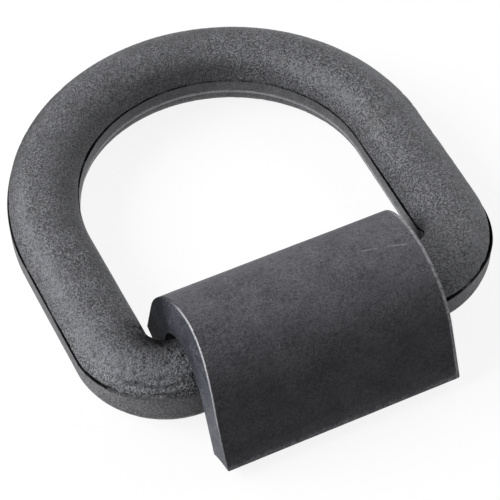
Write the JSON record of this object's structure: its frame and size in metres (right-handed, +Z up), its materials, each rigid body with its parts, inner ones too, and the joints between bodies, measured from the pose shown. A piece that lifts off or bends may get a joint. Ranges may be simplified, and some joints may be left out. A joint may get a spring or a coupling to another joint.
{
  "type": "weld-on d-ring anchor",
  "caption": "Forged steel D-shaped tie-down ring held by a bent plate saddle whose two feet are welded down; the ring swings half a turn about its straight bar.",
  "frame": {"origin": "middle of the saddle's footprint, on the surface that its two feet are welded to", "axes": "+Z up out of that surface, +X along the saddle and the ring's straight bar, +Y towards the side on which the ring lies flat"},
  "size_m": [0.1166, 0.1359, 0.0331],
  "materials": {
    "forged_steel": "bare forged steel, rough blasted scale, unpainted",
    "formed_plate": "bare hot-formed plate, smooth dark mill scale, unpainted"
  },
  "bodies": {
    "saddle": {"weld_saddle": "formed_plate"},
    "ring": {"d_ring": "forged_steel"}
  },
  "joints": [
    {"name": "ring_swing", "type": "hinge", "parent": "saddle", "child": "ring", "pos_m": [0, 0.00136, 0.01], "axis": [1, 0, 0], "range_deg": [0, 180]}
  ]
}
